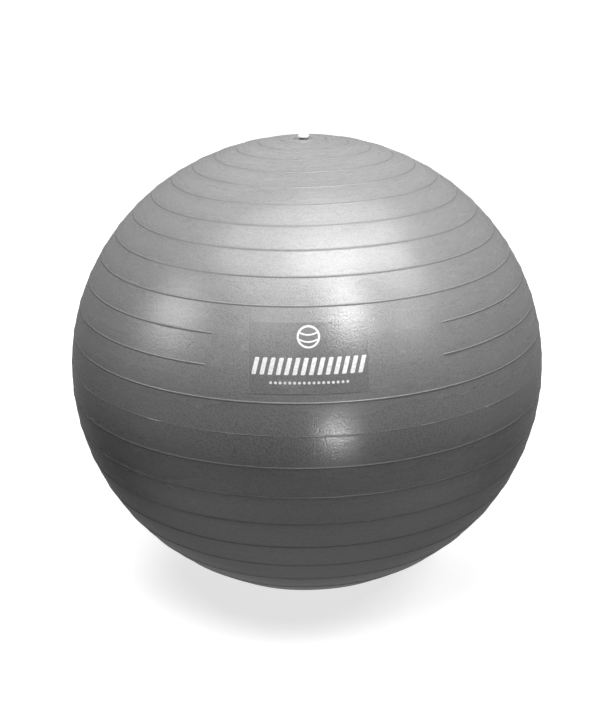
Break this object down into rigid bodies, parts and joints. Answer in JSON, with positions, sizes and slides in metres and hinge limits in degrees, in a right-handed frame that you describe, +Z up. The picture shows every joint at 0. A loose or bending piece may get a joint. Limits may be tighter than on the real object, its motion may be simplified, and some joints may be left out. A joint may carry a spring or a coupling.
{
  "type": "exercise ball",
  "caption": "Inflatable grey exercise ball with raised anti-slip ribs, a blank label panel and a white push-in valve stopper.",
  "frame": {"origin": "centre of the flat patch that the ball rests on, at floor level", "axes": "+Z up along the ball's axis, from the resting patch to the valve; the label panel faces -Y; +X is to the right as seen from the label"},
  "size_m": [0.6508, 0.6508, 0.6288],
  "materials": {
    "grey_vinyl": "satin",
    "seat_vinyl": "satin",
    "white_polyethylene": "satin",
    "label_film": "matte",
    "label_print": "matte"
  },
  "bodies": {
    "ball": {"ball_skin": "grey_vinyl", "valve_seat": "seat_vinyl", "label_film": "label_film"},
    "stopper": {"valve_plug": "white_polyethylene"}
  },
  "joints": [
    {"name": "stopper_pull", "type": "slide", "parent": "ball", "child": "stopper", "axis": [0, 0, 1], "range_m": [0, 0.018]}
  ]
}
